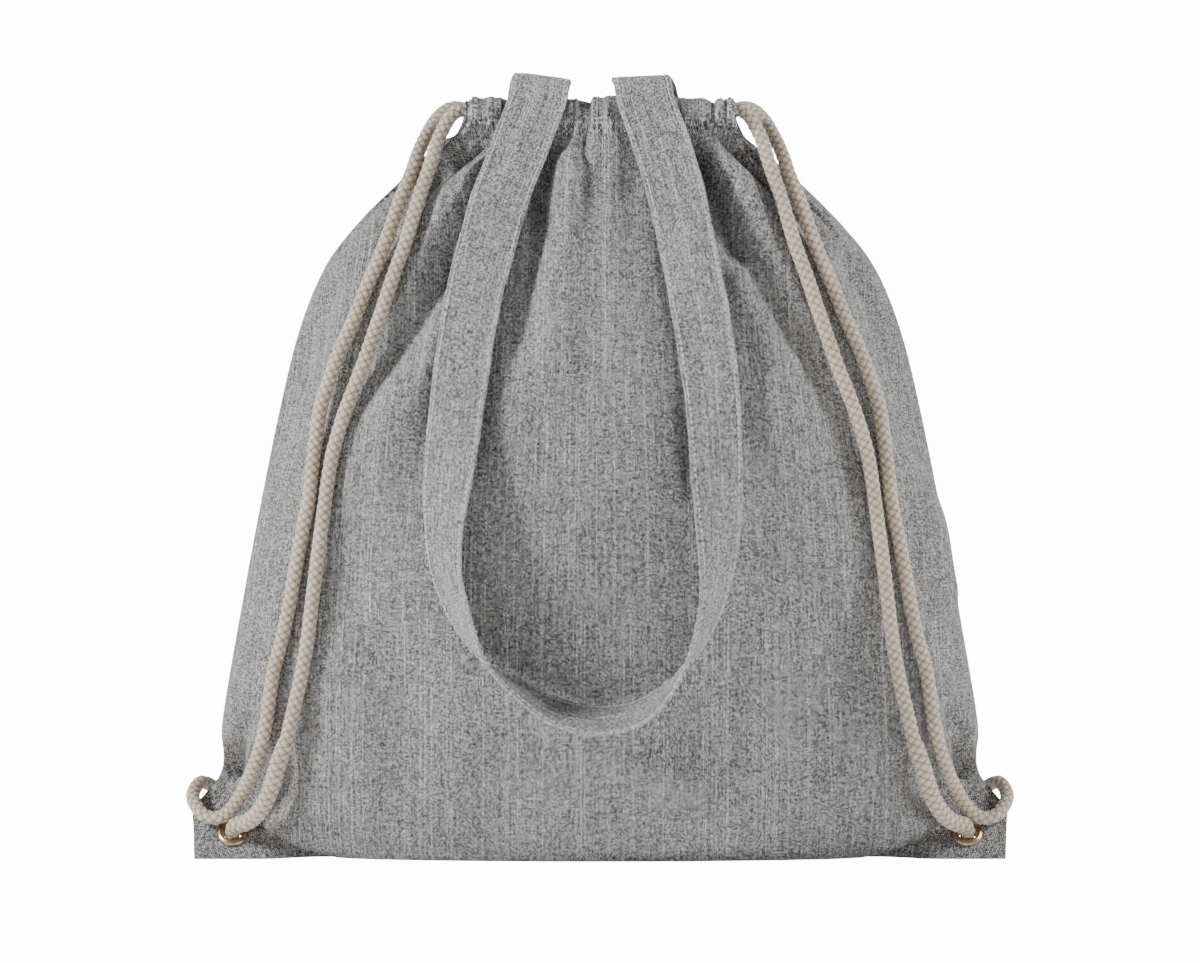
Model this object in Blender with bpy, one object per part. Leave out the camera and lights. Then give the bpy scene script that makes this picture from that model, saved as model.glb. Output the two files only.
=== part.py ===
"""Cloth drawstring backpack with two short handles, standing filled and drawn shut.

Metres, +Z up. The origin is on the ground under the middle of the bag, the front faces -Y and
+X runs along the bottom seam. The front and back panels are sewn together in the plane Y = 0.
"""
import math

import bmesh
import bpy
from mathutils import Matrix, Vector

# Cloth and clearances
CLOTH = 0.0012                    # wall of the panels
SEAM_GAP = 0.0003                 # between pieces that touch
SIDE_SEAM = 0.002                 # width of the flat seam down each side

# Front outline, each a height and a half width
SEAM_EDGE = [(0, 0.1785), (0.012, 0.1795), (0.021, 0.1800), (0.028, 0.1745), (0.036, 0.1685),
             (0.046, 0.1668), (0.060, 0.1668), (0.092, 0.1616), (0.145, 0.1519), (0.198, 0.1413),
             (0.233, 0.1325), (0.259, 0.1219), (0.277, 0.1087), (0.298, 0.0880), (0.317, 0.0650)]
BELLY_EDGE = [(0, 0.117), (0.004, 0.131), (0.011, 0.145), (0.018, 0.154), (0.026, 0.1625),
              (0.034, 0.1665), (0.046, 0.1648)]
# Side outline, each a height and how far the belly stands out from the seam
BELLY_DEPTH = [(0, 0.026), (0.015, 0.040), (0.040, 0.052), (0.080, 0.062), (0.120, 0.067),
               (0.160, 0.068), (0.200, 0.064), (0.240, 0.054), (0.270, 0.0425), (0.295, 0.0315),
               (0.317, 0.0228)]
# How square each level is: 0.5 is an ellipse, less is squarer, more is sharper at the seams
BELLY_SHAPE = [(0, 0.50), (0.030, 0.54), (0.080, 0.58), (0.200, 0.58), (0.260, 0.50), (0.317, 0.30)]
FOOT_ROWS = [0.034, 0.026, 0.018, 0.011, 0.004, CLOTH]
BODY_ROWS = 17
FLOOR_ROWS = 3
BELLY_COLUMNS = 26
SEAM_COLUMNS = 3

# The flat bottom corners, which lean back, and their eyelets
CORNER_TILT = math.radians(45)
CORNER_PIVOT = 0.013              # height at which a leaning corner meets the middle plane
CORNER_BOTTOM = 0.0006
EYELET_X = 0.162
EYELET_Z = 0.010
EYELET_OUTER = 0.0070
EYELET_BORE = 0.0042
BARREL_OUTER = 0.0050
CLOTH_HOLE = 0.0053
CORNER_HALF = 0.00095             # half the thickness of the two cloth layers at a corner

# The drawcord channels round the neck
CHANNEL_Y = 0.0145
CHANNEL_Z = 0.3258
CHANNEL_OUTER = 0.0075
CHANNEL_WALL = 0.0009
CHANNEL_END = 0.0576

# The drawcords
CORD_RADIUS = 0.003
SPLICE_RADIUS = 0.0037
CORD_STEP = 0.010
LANE = 0.0032                     # from the channel's centre line to each of its two cords
TWIST_END = 0.042                 # the two cords change places between here and -here
TURN_X = 0.045
TURN_REACH = 0.0085

# The handles
STRAP_WIDTH = 0.025
STRAP_THICK = 0.0018
HINGE_Z = 0.335
CREST_RADIUS = 0.0087             # of the fold over the channel, at mid thickness

# Routes of the left cord, from the neck down; the right cord mirrors them
OUTER_STRAND = [
    (-0.0580, 0.0145, 0.3290), (-0.0625, 0.0130, 0.3310), (-0.0675, 0.0085, 0.3300),
    (-0.0722, 0.0020, 0.3255), (-0.0762, -0.0055, 0.3185), (-0.0797, -0.0125, 0.3105),
    (-0.0830, -0.0190, 0.3005), (-0.0873, -0.0242, 0.2895), (-0.0912, -0.0285, 0.2780),
    (-0.0955, -0.0320, 0.2660), (-0.1010, -0.0345, 0.2530), (-0.1070, -0.0357, 0.2380),
    (-0.1130, -0.0360, 0.2245), (-0.1180, -0.0360, 0.2110), (-0.1220, -0.0362, 0.1975),
    (-0.1250, -0.0372, 0.1750), (-0.1270, -0.0378, 0.1580), (-0.1298, -0.0378, 0.1440),
    (-0.1327, -0.0371, 0.1285), (-0.1356, -0.0361, 0.1120), (-0.1390, -0.0347, 0.0970),
    (-0.1425, -0.0330, 0.0840), (-0.1440, -0.0323, 0.0740), (-0.1460, -0.0308, 0.0610),
    (-0.1487, -0.0272, 0.0500), (-0.1515, -0.0222, 0.0420), (-0.1552, -0.0145, 0.0335),
    (-0.1594, -0.0085, 0.0260), (-0.1642, -0.0050, 0.0200), (-0.1700, -0.0036, 0.0176),
    (-0.1760, -0.0004, 0.0196), (-0.1803, 0.0082, 0.0262), (-0.1775, 0.0180, 0.0318),
    (-0.1715, 0.0225, 0.0290), (-0.1672, 0.0210, 0.0215), (-0.1645, 0.0175, 0.0135),
    (-0.1630, 0.0130, 0.0075), (-0.1622, 0.0080, 0.0045), (-0.1620, 0.0035, 0.0045),
    (-0.1620, -0.0012, 0.0082)]
INNER_STRAND = [
    (-0.0580, -0.0145, 0.3290), (-0.0618, -0.0150, 0.3290), (-0.0655, -0.0158, 0.3262),
    (-0.0688, -0.0170, 0.3205), (-0.0714, -0.0188, 0.3145), (-0.0742, -0.0222, 0.3050),
    (-0.0777, -0.0266, 0.2945), (-0.0812, -0.0312, 0.2830), (-0.0852, -0.0355, 0.2695),
    (-0.0900, -0.0390, 0.2560), (-0.0942, -0.0414, 0.2430), (-0.0982, -0.0427, 0.2315),
    (-0.1025, -0.0434, 0.2190), (-0.1068, -0.0436, 0.2080), (-0.1108, -0.0434, 0.1975),
    (-0.1145, -0.0432, 0.1855), (-0.1172, -0.0432, 0.1740), (-0.1210, -0.0436, 0.1470),
    (-0.1230, -0.0436, 0.1320), (-0.1250, -0.0433, 0.1160), (-0.1272, -0.0425, 0.0980),
    (-0.1302, -0.0410, 0.0815), (-0.1335, -0.0389, 0.0675), (-0.1369, -0.0362, 0.0537)]
SPLICE = [
    (-0.1370, -0.0364, 0.0533), (-0.1403, -0.0338, 0.0440), (-0.1432, -0.0300, 0.0345),
    (-0.1463, -0.0255, 0.0268), (-0.1505, -0.0196, 0.0205), (-0.1555, -0.0140, 0.0165),
    (-0.1598, -0.0095, 0.0150), (-0.1617, -0.0060, 0.0128), (-0.1620, -0.0023, 0.0093)]

# The front handle where it hangs: x, distance in front of the seam, z, and how far the strap has
# turned from lying flat against the belly towards standing on its outer edge, in degrees
HANDLE_LOOP = [
    (-0.0275, 0.0254, 0.3350, 0), (-0.0300, 0.0258, 0.3260, 0), (-0.0360, 0.0306, 0.3100, 0),
    (-0.0435, 0.0364, 0.2900, 0), (-0.0490, 0.0452, 0.2700, 0), (-0.0535, 0.0508, 0.2530, 4),
    (-0.0570, 0.0552, 0.2350, 10), (-0.0608, 0.0600, 0.2080, 17), (-0.0635, 0.0640, 0.1860, 24),
    (-0.0657, 0.0682, 0.1670, 33), (-0.0670, 0.0720, 0.1490, 46), (-0.0668, 0.0735, 0.1350, 54),
    (-0.0650, 0.0745, 0.1240, 60), (-0.0610, 0.0755, 0.1120, 67), (-0.0560, 0.0763, 0.1010, 76),
    (-0.0500, 0.0768, 0.0910, 87), (-0.0410, 0.0770, 0.0825, 98), (-0.0320, 0.0768, 0.0765, 106),
    (-0.0220, 0.0764, 0.0700, 112), (-0.0120, 0.0760, 0.0665, 116), (-0.0030, 0.0758, 0.0650, 117),
    (0.0070, 0.0759, 0.0655, 116), (0.0160, 0.0762, 0.0680, 112), (0.0230, 0.0766, 0.0725, 106),
    (0.0300, 0.0770, 0.0790, 98), (0.0365, 0.0772, 0.0880, 88), (0.0420, 0.0770, 0.0980, 76),
    (0.0465, 0.0764, 0.1100, 67), (0.0493, 0.0756, 0.1220, 59), (0.0505, 0.0745, 0.1350, 50),
    (0.0508, 0.0725, 0.1510, 38), (0.0503, 0.0695, 0.1670, 29), (0.0495, 0.0660, 0.1900, 20),
    (0.0475, 0.0628, 0.2130, 10), (0.0430, 0.0565, 0.2430, 3), (0.0380, 0.0468, 0.2690, 0),
    (0.0325, 0.0360, 0.2950, 0), (0.0265, 0.0290, 0.3150, 0), (0.0225, 0.0260, 0.3260, 0),
    (0.0200, 0.0254, 0.3350, 0)]
LOOP_STEP = 0.011
# Each handle end inside the mouth: x at the sewn end, at the channel, at the crest and in front
END_X = {"left": (-0.0315, -0.0285, -0.0250, -0.0272), "right": (0.0260, 0.0225, 0.0175, 0.0198)}
END_BOTTOM = 0.300
CREST_STEPS = 9
CREST_SWEEP = math.radians(176)


def start_scene():
    for old in list(bpy.data.objects):
        bpy.data.objects.remove(old)


def finish_material(name, colour, roughness, metallic):
    material = bpy.data.materials.new(name)
    material.use_nodes = True
    shader = material.node_tree.nodes["Principled BSDF"]
    shader.inputs["Base Color"].default_value = (*colour, 1)
    shader.inputs["Roughness"].default_value = roughness
    shader.inputs["Metallic"].default_value = metallic
    return material


def add_object(name, data, material, location=(0, 0, 0)):
    piece = bpy.data.objects.new(name, data)
    piece.location = location
    piece.data.materials.append(material)
    bpy.context.scene.collection.objects.link(piece)
    return piece


def mesh_from(bm, name):
    mesh = bpy.data.meshes.new(name)
    bm.to_mesh(mesh)
    bm.free()
    mesh.shade_smooth()
    mesh.set_sharp_from_angle(angle=math.radians(40))
    return mesh


def ease(low, high, value):
    t = min(1.0, max(0.0, (value - low) / (high - low)))
    return t * t * (3 - 2 * t)


def along(outline, height):
    """The value of a hand-set outline at a height, on a smooth curve through its points."""
    last = len(outline) - 1
    height = min(outline[last][0], max(outline[0][0], height))
    i = next(k for k in range(last) if height <= outline[k + 1][0])

    def slope(k):
        a, b = outline[max(0, k - 1)], outline[min(last, k + 1)]
        return (b[1] - a[1]) / (b[0] - a[0])

    (z0, v0), (z1, v1) = outline[i], outline[i + 1]
    span = z1 - z0
    s = (height - z0) / span
    start = (2 * s**3 - 3 * s**2 + 1) * v0 + (s**3 - 2 * s**2 + s) * slope(i) * span
    return start + (3 * s**2 - 2 * s**3) * v1 + (s**3 - s**2) * slope(i + 1) * span


def smooth_route(points, step):
    """Points a step apart on a smooth curve through a route's own points."""
    knots = [Vector(p) for p in points]
    knots = [knots[0] * 2 - knots[1], *knots, knots[-1] * 2 - knots[-2]]
    fine = [knots[1]]
    for a, b, c, d in zip(knots, knots[1:], knots[2:], knots[3:]):
        for k in range(1, 17):
            t = k / 16
            fine.append(0.5 * (2 * b + (c - a) * t + (2 * a - 5 * b + 4 * c - d) * t**2
                               + (3 * b - a - 3 * c + d) * t**3))
    lengths = [0.0]
    for a, b in zip(fine, fine[1:]):
        lengths.append(lengths[-1] + (b - a).xyz.length)
    count = max(2, round(lengths[-1] / step))
    result = []
    i = 0
    for k in range(count + 1):
        target = lengths[-1] * k / count
        while i < len(fine) - 2 and lengths[i + 1] < target:
            i += 1
        share = (target - lengths[i]) / (lengths[i + 1] - lengths[i])
        result.append(fine[i].lerp(fine[i + 1], share))
    return result


# ---------------------------------------------------------------- front and back panels

def belly_edge(z):
    if z < BELLY_EDGE[-1][0]:
        return along(BELLY_EDGE, z)
    return along(SEAM_EDGE, z) - SIDE_SEAM


def corner_lean(x, z):
    """How far a flat bottom corner is pushed forward or back of the middle plane."""
    share = ease(0.122, 0.150, abs(x)) * (1 - ease(0.026, 0.055, z))
    return (z - CORNER_PIVOT) * math.tan(CORNER_TILT) * share


def row_heights():
    top, low = SEAM_EDGE[-1][0], BELLY_EDGE[-1][0]
    return [top - (top - low) * k / BODY_ROWS for k in range(BODY_ROWS + 1)] + FOOT_ROWS


def panel_point(column, row, side, wall):
    """A point of a panel's inner face, or of its outer face if wall is the cloth's thickness."""
    heights = row_heights()
    z = heights[min(row, len(heights) - 1)]
    floor = max(0, row - len(heights) + 1) / FLOOR_ROWS
    column -= SEAM_COLUMNS
    outside = max(-column, column - BELLY_COLUMNS, 0) / SEAM_COLUMNS
    edge = belly_edge(z) + wall * (1 - outside)
    if 0 < column < BELLY_COLUMNS:
        turn = math.pi * (column / BELLY_COLUMNS - 0.5)
        depth = along(BELLY_DEPTH, z) * math.cos(turn) ** (2 * along(BELLY_SHAPE, z)) + wall
        x = edge * math.sin(turn)
        y = SEAM_GAP / 2 + depth * (1 - floor)
        if row >= len(heights) - 1:
            z = CLOTH - wall
    else:
        z = max(z, CORNER_BOTTOM)
        x = (edge + (along(SEAM_EDGE, z) - edge) * outside) * (-1 if column <= 0 else 1)
        y = SEAM_GAP / 2 + wall
    return Vector((x, side * y + corner_lean(x, z), z))


def eyelet_hole(side):
    """A cutter for the hole through both layers of a bottom corner."""
    bm = bmesh.new()
    bmesh.ops.create_cone(bm, cap_ends=True, segments=24, radius1=CLOTH_HOLE, radius2=CLOTH_HOLE,
                          depth=0.012)
    cutter = bpy.data.objects.new(f"eyelet_hole_{side}", mesh_from(bm, "eyelet_hole"))
    cutter.location = eyelet_place(side)
    cutter.rotation_euler.x = CORNER_TILT
    return hide_cutter(cutter)


def hide_cutter(cutter):
    cutter.hide_render = True
    cutter.display_type = "WIRE"
    bpy.context.scene.collection.objects.link(cutter)
    return cutter


def cut(piece, cutter):
    modifier = piece.modifiers.new("cut", "BOOLEAN")
    modifier.operation = "DIFFERENCE"
    modifier.object = cutter


def eyelet_place(side):
    return (side * EYELET_X, corner_lean(EYELET_X, EYELET_Z), EYELET_Z)


def add_face_layer(bm, side, wall):
    """One face of a panel as a grid; returns the edges round its rim."""
    columns = BELLY_COLUMNS + 2 * SEAM_COLUMNS
    rows = len(row_heights()) - 1 + FLOOR_ROWS
    old = set(bm.verts)
    bmesh.ops.create_grid(bm, x_segments=columns, y_segments=rows, size=1)
    verts = [vert for vert in bm.verts if vert not in old]
    for vert in verts:
        column = round((vert.co.x + 1) / 2 * columns)
        row = round((1 - vert.co.y) / 2 * rows)
        vert.co = panel_point(column, row, side, wall)
    bmesh.ops.remove_doubles(bm, verts=verts, dist=0.00001)
    faces = [face for face in bm.faces if not old.intersection(face.verts)]
    bmesh.ops.triangulate(bm, faces=faces, quad_method="FIXED")
    return [edge for edge in bm.edges if edge.is_boundary and not old.intersection(edge.verts)]


def add_panel(name, side, cloth, holes):
    bm = bmesh.new()
    rims = add_face_layer(bm, side, 0) + add_face_layer(bm, side, CLOTH)
    bmesh.ops.bridge_loops(bm, edges=rims)
    bmesh.ops.recalc_face_normals(bm, faces=bm.faces)
    panel = add_object(name, mesh_from(bm, name), cloth)
    for hole in holes:
        cut(panel, hole)


# ---------------------------------------------------------------- drawcord channels

def add_channel(name, side, cloth):
    """A round hem tunnel whose inner lower quarter is open at both ends, where a cord crosses."""
    segments = 16
    lengthwise = 10
    bm = bmesh.new()
    bmesh.ops.create_grid(bm, x_segments=lengthwise, y_segments=segments, size=1)
    for vert in bm.verts:
        turn = math.pi * (vert.co.y + 1 / segments)
        x = vert.co.x * CHANNEL_END
        vert.co = (x, side * CHANNEL_Y + CHANNEL_OUTER * math.sin(turn),
                   CHANNEL_Z + CHANNEL_OUTER * math.cos(turn))
    bmesh.ops.remove_doubles(bm, verts=bm.verts, dist=0.00001)
    bmesh.ops.recalc_face_normals(bm, faces=bm.faces)
    outward = bm.faces[:][0]
    centre = Vector((0, side * CHANNEL_Y, CHANNEL_Z))
    spoke = (outward.calc_center_median() - centre) * Vector((0, 1, 1))
    if outward.normal.dot(spoke) < 0:
        bmesh.ops.reverse_faces(bm, faces=bm.faces)
    channel = add_object(name, mesh_from(bm, name), cloth)
    wall = channel.modifiers.new("wall", "SOLIDIFY")
    wall.thickness = CHANNEL_WALL
    wall.offset = -1
    wall.use_even_offset = True
    for end in (-1, 1):
        bm = bmesh.new()
        reach = CHANNEL_END + 0.002 - (TURN_X - 0.005)
        size = Matrix.Diagonal((reach, CHANNEL_OUTER + 0.001, 0.009, 1))
        bmesh.ops.create_cube(bm, size=1, matrix=size)
        cutter = bpy.data.objects.new(f"cord_gap_{name}_{end}", mesh_from(bm, "cord_gap"))
        middle_y = side * (CHANNEL_Y - CHANNEL_OUTER / 2 - 0.0005)
        cutter.location = (end * (CHANNEL_END + 0.002 - reach / 2), middle_y, 0.3217)
        cut(channel, hide_cutter(cutter))


# ---------------------------------------------------------------- drawcords

def add_cord(name, points, radius, material):
    curve = bpy.data.curves.new(name, "CURVE")
    curve.dimensions = "3D"
    curve.bevel_depth = radius
    curve.bevel_resolution = 2
    curve.use_fill_caps = True
    spline = curve.splines.new("POLY")
    spline.points.add(len(points) - 1)
    for knot, point in zip(spline.points, points):
        knot.co = (*point, 1)
    add_object(name, curve, material)


def channel_route(side):
    """The hidden run of one cord: along the front tunnel, across, and back along the rear one."""
    start = CHANNEL_END - CORD_RADIUS / 2
    lane = []
    xs = [-start, -TWIST_END - 0.008]
    xs += [-TWIST_END + 2 * TWIST_END * k / 10 for k in range(11)]
    for x in xs:
        turn = math.pi * ease(-TWIST_END, TWIST_END, x)
        lane.append((x, -side * LANE * math.sin(turn), LANE * math.cos(turn)))
    out = [(x, dy - CHANNEL_Y, CHANNEL_Z + dz) for x, dy, dz in lane]
    bend = []
    for k in range(9):
        turn = math.pi * k / 8
        bend.append((TURN_X + TURN_REACH * math.sin(turn), -CHANNEL_Y * math.cos(turn),
                     CHANNEL_Z - LANE))
    home = [(x, CHANNEL_Y - dy, CHANNEL_Z + dz) for x, dy, dz in reversed(lane)]
    return [(-side * x, y, z) for x, y, z in out + bend + home]


def mirrored(points, side):
    return [(-side * x, y, z) for x, y, z in points]


def add_drawcords(cotton):
    for name, side in (("left", -1), ("right", 1)):
        for part, route in (("outer_strand", OUTER_STRAND), ("inner_strand", INNER_STRAND)):
            points = smooth_route(mirrored(route, side), CORD_STEP)
            add_cord(f"{name}_cord_{part}", points, CORD_RADIUS, cotton)
        splice = smooth_route(mirrored(SPLICE, side), CORD_STEP / 2)
        add_cord(f"{name}_cord_splice", splice, SPLICE_RADIUS, cotton)
        add_cord(f"{name}_cord_in_channel", channel_route(side), CORD_RADIUS, cotton)


# ---------------------------------------------------------------- eyelets

def turned(profile, name):
    """A ring turned from a closed profile of radius and height about its own axis."""
    bm = bmesh.new()
    verts = [bm.verts.new((r, 0, h)) for r, h in profile]
    edges = [bm.edges.new((a, b)) for a, b in zip(verts, verts[1:] + verts[:1])]
    bmesh.ops.spin(bm, geom=verts + edges, cent=(0, 0, 0), axis=(0, 0, 1), angle=math.tau,
                   steps=28, use_merge=True)
    bmesh.ops.recalc_face_normals(bm, faces=bm.faces)
    return mesh_from(bm, name)


def add_eyelets(brass):
    face = CORNER_HALF + SEAM_GAP
    rim = (EYELET_BORE + EYELET_OUTER) / 2
    barrel_end = -face - 0.0017
    front = turned([(EYELET_BORE, barrel_end - 0.0006), (EYELET_BORE, face + 0.0005),
                    (EYELET_BORE + 0.0006, face + 0.0010), (rim, face + 0.0013),
                    (EYELET_OUTER - 0.0005, face + 0.0008), (EYELET_OUTER, face),
                    (BARREL_OUTER, face), (BARREL_OUTER, barrel_end),
                    (BARREL_OUTER + 0.0009, barrel_end - 0.0001),
                    (BARREL_OUTER + 0.0007, barrel_end - 0.0006)], "eyelet_front")
    back = turned([(BARREL_OUTER + SEAM_GAP, -face), (EYELET_OUTER, -face),
                   (EYELET_OUTER, -face - 0.0008), (EYELET_OUTER - 0.0006, -face - 0.0013),
                   (BARREL_OUTER + SEAM_GAP, -face - 0.0013)], "eyelet_back")
    for name, side in (("left", -1), ("right", 1)):
        for part, mesh in (("front", front), ("back", back)):
            ring = add_object(f"{name}_eyelet_{part}", mesh.copy(), brass, eyelet_place(side))
            ring.rotation_euler.x = CORNER_TILT


# ---------------------------------------------------------------- handles

def add_strap(name, centres, widths, origin, cloth):
    """A flat strap through the centres, each with the half-width vector across it."""
    steps = len(centres) - 1
    bm = bmesh.new()
    bmesh.ops.create_grid(bm, x_segments=steps, y_segments=2, size=1)
    for vert in bm.verts:
        i = round((vert.co.x + 1) / 2 * steps)
        vert.co = centres[i] + widths[i] * vert.co.y - origin
    strap = add_object(name, mesh_from(bm, name), cloth, origin)
    wall = strap.modifiers.new("wall", "SOLIDIFY")
    wall.thickness = STRAP_THICK
    wall.offset = 0
    wall.use_even_offset = True


def directions(points):
    ends = [points[0], *points, points[-1]]
    return [(b - a).normalized() for a, b in zip(ends, ends[2:])]


def add_handle_loop(name, side, cloth):
    """The part of a handle that hangs outside and swings about the crest over the channel."""
    front = Vector((0, -1, 0))
    stations = smooth_route([(x, -y, z, math.radians(turn)) for x, y, z, turn in HANDLE_LOOP],
                            LOOP_STEP)
    centres = [station.xyz for station in stations]
    widths = []
    for station, ahead in zip(stations, directions(centres)):
        outward = (front - ahead * front.dot(ahead)).normalized()
        across = outward.cross(ahead)
        width = across * math.cos(station.w) + outward * math.sin(station.w)
        widths.append(width * STRAP_WIDTH / 2)
    flip = Vector((1, -side, 1))
    origin = Vector((0, side * CHANNEL_Y, HINGE_Z))
    add_strap(name, [c * flip for c in centres], [w * flip for w in widths], origin, cloth)


def add_handle_end(name, side, xs, cloth):
    """The part of a handle that is sewn in the mouth and folds over the channel."""
    sewn_x, channel_x, crest_x, front_x = xs
    inner = CREST_RADIUS
    centres = [Vector((sewn_x, inner, END_BOTTOM - HINGE_Z)),
               Vector(((sewn_x + channel_x) / 2, inner, (END_BOTTOM - HINGE_Z) / 2)),
               Vector((channel_x, inner, -0.006))]
    for k in range(CREST_STEPS + 1):
        turn = CREST_SWEEP * k / CREST_STEPS
        share = k / CREST_STEPS
        before, after = (channel_x, crest_x) if share < 0.5 else (crest_x, front_x)
        x = before + (after - before) * (share * 2 % 1 if share < 1 else 1)
        centres.append(Vector((x, inner * math.cos(turn), inner * math.sin(turn))))
    flip = Vector((1, -side, 1))
    origin = Vector((0, side * CHANNEL_Y, HINGE_Z))
    centres = [c * flip + origin for c in centres]
    widths = [Vector((STRAP_WIDTH / 2, 0, 0))] * len(centres)
    add_strap(name, centres, widths, Vector((0, 0, 0)), cloth)


start_scene()
grey_cloth = finish_material("grey_cloth", (0.26, 0.25, 0.25), 0.95, 0.0)
strap_cloth = finish_material("strap_cloth", (0.30, 0.29, 0.29), 0.95, 0.0)
cord_cotton = finish_material("cord_cotton", (0.55, 0.47, 0.37), 0.9, 0.0)
aged_brass = finish_material("aged_brass", (0.45, 0.30, 0.13), 0.35, 1.0)
corner_holes = [eyelet_hole(side) for side in (-1, 1)]
for word, facing in (("front", -1), ("back", 1)):
    add_panel(f"{word}_panel", facing, grey_cloth, corner_holes)
    add_channel(f"{word}_drawcord_channel", facing, grey_cloth)
    add_handle_loop(f"{word}_handle", facing, strap_cloth)
    for end, xs in END_X.items():
        add_handle_end(f"{word}_handle_{end}_end", facing, xs, strap_cloth)
add_drawcords(cord_cotton)
add_eyelets(aged_brass)
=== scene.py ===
import math

import bmesh
import bpy
import numpy as np
from mathutils import Matrix, Vector


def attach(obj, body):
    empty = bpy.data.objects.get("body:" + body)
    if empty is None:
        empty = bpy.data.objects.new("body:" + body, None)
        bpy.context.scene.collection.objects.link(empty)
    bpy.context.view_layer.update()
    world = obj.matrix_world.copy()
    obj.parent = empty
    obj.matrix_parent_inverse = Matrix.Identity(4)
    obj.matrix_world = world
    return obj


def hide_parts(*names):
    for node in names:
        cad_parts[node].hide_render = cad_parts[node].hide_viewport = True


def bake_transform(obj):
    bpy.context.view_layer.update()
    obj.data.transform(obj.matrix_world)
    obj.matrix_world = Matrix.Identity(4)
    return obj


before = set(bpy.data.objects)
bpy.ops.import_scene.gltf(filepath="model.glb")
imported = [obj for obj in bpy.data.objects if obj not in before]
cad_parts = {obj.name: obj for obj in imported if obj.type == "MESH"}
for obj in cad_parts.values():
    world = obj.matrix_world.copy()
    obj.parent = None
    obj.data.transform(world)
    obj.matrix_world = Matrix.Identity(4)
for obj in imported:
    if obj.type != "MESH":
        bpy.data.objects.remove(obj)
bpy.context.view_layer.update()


# ---------------------------------------------------------------- camera
# A long lens straight in front of the bag, a little above the middle of it, so that the sides
# and the crossing straps keep their true proportions.

VIEW_WIDTH = 0.5292
VIEW_CENTRE_Z = 0.1660
LENS = 200
SENSOR = 36
CAMERA_RISE = math.radians(1.5)

camera = bpy.data.objects.new("camera", bpy.data.cameras.new("camera"))
camera.data.lens = LENS
camera.data.sensor_width = SENSOR
camera_distance = VIEW_WIDTH * LENS / SENSOR
camera.location = (0, -camera_distance * math.cos(CAMERA_RISE),
                   VIEW_CENTRE_Z + camera_distance * math.sin(CAMERA_RISE))
camera.rotation_euler = (math.pi / 2 - CAMERA_RISE, 0, 0)
camera.data.clip_end = 50
bpy.context.scene.collection.objects.link(camera)
bpy.context.scene.camera = camera


# ---------------------------------------------------------------- drawcords
# Two loops of round braided natural cotton, 6 mm thick. Each runs out of both neck hems, down the
# front of the bag and through the eyelet in its bottom corner, where its sewn ends make a splice.

CORD_RADIUS = 0.0030
SPLICE_RADIUS = 0.0037
CORD_FACETS = 32
CORD_RING_STEP = 0.00046
BRAID_STRANDS = 4                 # in each direction round the cord
BRAID_PITCH = 0.0038              # along the cord from one strand to the next
BRAID_RELIEF = 0.00042
BRAID_DRIFT = 0.35

# Routes of the left cord, from the neck down; the right cord mirrors them
OUTER_STRAND = [
    (-0.0580, 0.0145, 0.3290), (-0.0625, 0.0130, 0.3310), (-0.0675, 0.0085, 0.3300),
    (-0.0722, 0.0020, 0.3255), (-0.0762, -0.0055, 0.3185), (-0.0797, -0.0125, 0.3105),
    (-0.0830, -0.0190, 0.3005), (-0.0873, -0.0242, 0.2895), (-0.0912, -0.0285, 0.2780),
    (-0.0955, -0.0320, 0.2660), (-0.1010, -0.0345, 0.2530), (-0.1070, -0.0357, 0.2380),
    (-0.1130, -0.0360, 0.2245), (-0.1180, -0.0360, 0.2110), (-0.1220, -0.0362, 0.1975),
    (-0.1250, -0.0372, 0.1750), (-0.1270, -0.0378, 0.1580), (-0.1298, -0.0378, 0.1440),
    (-0.1327, -0.0371, 0.1285), (-0.1356, -0.0361, 0.1120), (-0.1390, -0.0347, 0.0970),
    (-0.1425, -0.0330, 0.0840), (-0.1440, -0.0323, 0.0740), (-0.1460, -0.0308, 0.0610),
    (-0.1487, -0.0272, 0.0500), (-0.1515, -0.0222, 0.0420), (-0.1552, -0.0145, 0.0335),
    (-0.1594, -0.0085, 0.0260), (-0.1642, -0.0050, 0.0200), (-0.1700, -0.0036, 0.0176),
    (-0.1760, -0.0004, 0.0196), (-0.1803, 0.0082, 0.0262), (-0.1775, 0.0180, 0.0318),
    (-0.1715, 0.0225, 0.0290), (-0.1672, 0.0210, 0.0215), (-0.1645, 0.0175, 0.0135),
    (-0.1630, 0.0130, 0.0075), (-0.1622, 0.0080, 0.0045), (-0.1620, 0.0035, 0.0045),
    (-0.1620, -0.0012, 0.0082)]
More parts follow.
